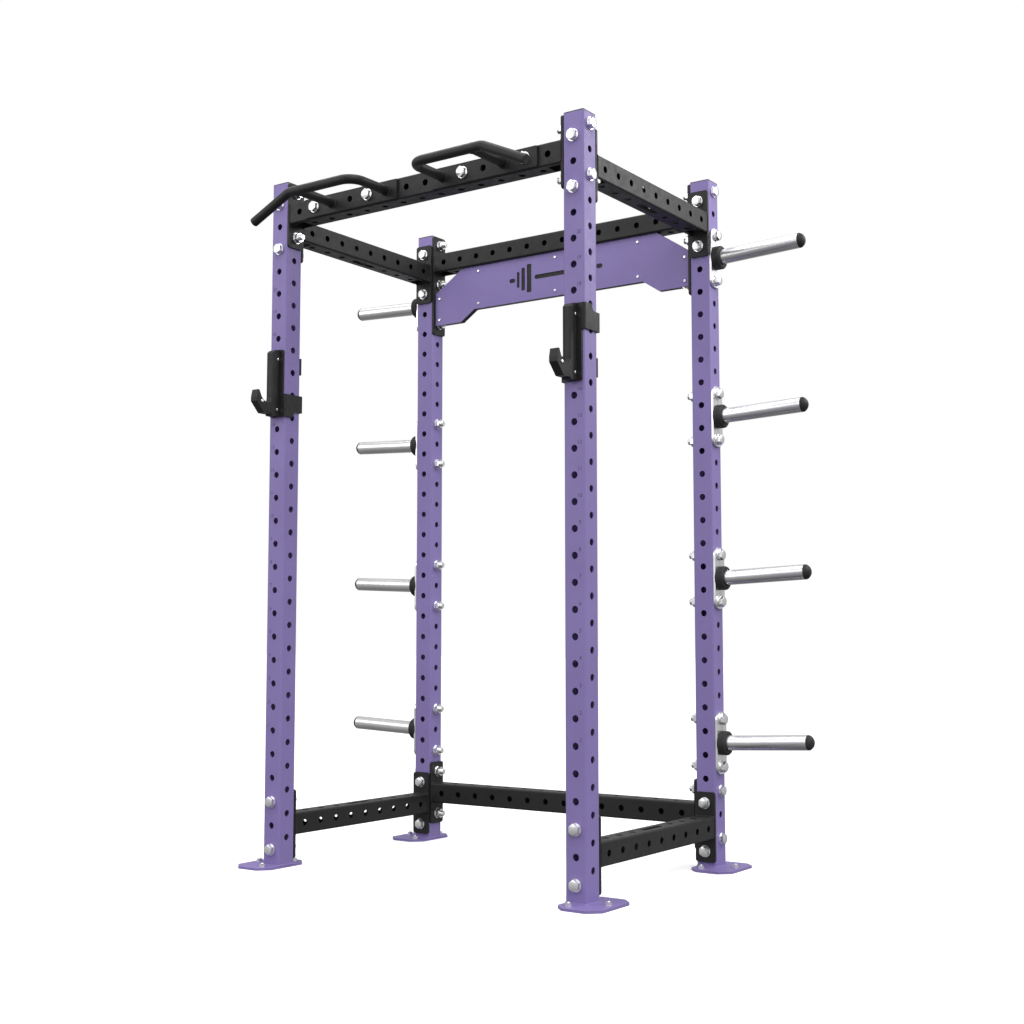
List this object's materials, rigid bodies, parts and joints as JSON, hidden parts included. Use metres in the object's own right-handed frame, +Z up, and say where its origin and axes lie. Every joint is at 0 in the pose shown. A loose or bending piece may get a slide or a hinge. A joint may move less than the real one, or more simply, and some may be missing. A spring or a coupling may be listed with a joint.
{
  "type": "power cage",
  "caption": "Bolted steel power cage with drilled uprights, pull-up handles, hook rests that turn to unlock, and sleeves at the back that store weight plates.",
  "frame": {"origin": "floor level, under the middle of the overall box", "axes": "+Z up, +X to the right for someone facing the front of the cage, +Y towards the plate storage at the back"},
  "size_m": [1.8894, 1.107, 2.266],
  "materials": {
    "purple_powder_coat": "satin powder coat",
    "black_powder_coat": "fine-textured satin powder coat",
    "zinc_plate": "bright zinc plate",
    "brushed_sleeve": "turned and brushed",
    "bright_fastener": "bright plated",
    "black_plastic": "moulded, matt",
    "black_rubber": "matt rubber"
  },
  "bodies": {
    "cage_frame": {"upright_front_left": "purple_powder_coat", "upright_front_right": "purple_powder_coat", "upright_rear_left": "purple_powder_coat", "upright_rear_right": "purple_powder_coat", "foot_plate_front_left": "purple_powder_coat", "foot_plate_front_right": "purple_powder_coat", "foot_plate_rear_left": "purple_powder_coat", "foot_plate_rear_right": "purple_powder_coat", "name_panel": "purple_powder_coat", "side_beam_top_left": "black_powder_coat", "side_beam_top_right": "black_powder_coat", "side_beam_bottom_left": "black_powder_coat", "side_beam_bottom_right": "black_powder_coat", "side_beam_flanges": "black_powder_coat", "pull_up_beam": "black_powder_coat", "rear_bottom_beam": "black_powder_coat", "rear_top_beam": "black_powder_coat", "cross_beam_flanges": "black_powder_coat", "rear_top_beam_flanges": "black_powder_coat", "name_panel_backing": "black_powder_coat", "handle_plate_left": "black_powder_coat", "handle_plate_right": "black_powder_coat", "handle_bar_left": "black_powder_coat", "handle_bar_right": "black_powder_coat", "handle_strut_left": "black_powder_coat", "handle_strut_right": "black_powder_coat", "upright_end_caps": "black_plastic", "handle_end_caps": "black_plastic", "horn_end_caps": "black_plastic", "horn_collars": "black_rubber", "beam_bolts": "zinc_plate", "handle_bolts": "zinc_plate", "horn_bolts": "zinc_plate", "hex_nuts": "zinc_plate", "washers": "zinc_plate", "floor_anchor_studs": "zinc_plate", "floor_anchor_nuts": "zinc_plate", "horn_plates": "zinc_plate", "name_panel_rivets": "bright_fastener", "horn_sleeve_left_1": "brushed_sleeve", "horn_sleeve_left_2": "brushed_sleeve", "horn_sleeve_left_3": "brushed_sleeve", "horn_sleeve_left_4": "brushed_sleeve", "horn_sleeve_right_1": "brushed_sleeve", "horn_sleeve_right_2": "brushed_sleeve", "horn_sleeve_right_3": "brushed_sleeve", "horn_sleeve_right_4": "brushed_sleeve"},
    "left_j_cup": {"jcup_bracket_left": "black_powder_coat", "jcup_core_left": "black_powder_coat", "jcup_cheeks_left": "black_plastic", "jcup_strap_left": "black_powder_coat", "jcup_pin_left": "zinc_plate", "jcup_screws_left": "bright_fastener"},
    "right_j_cup": {"jcup_bracket_right": "black_powder_coat", "jcup_core_right": "black_powder_coat", "jcup_cheeks_right": "black_plastic", "jcup_strap_right": "black_powder_coat", "jcup_pin_right": "zinc_plate", "jcup_screws_right": "bright_fastener"}
  },
  "joints": [
    {"name": "left_j_cup_turn", "type": "hinge", "parent": "cage_frame", "child": "left_j_cup", "pos_m": [-0.5842, -0.3695, 1.5825], "axis": [0, -1, 0], "range_deg": [0, 90]},
    {"name": "right_j_cup_turn", "type": "hinge", "parent": "cage_frame", "child": "right_j_cup", "pos_m": [0.5842, -0.3695, 1.5825], "axis": [0, 1, 0], "range_deg": [0, 90]}
  ]
}
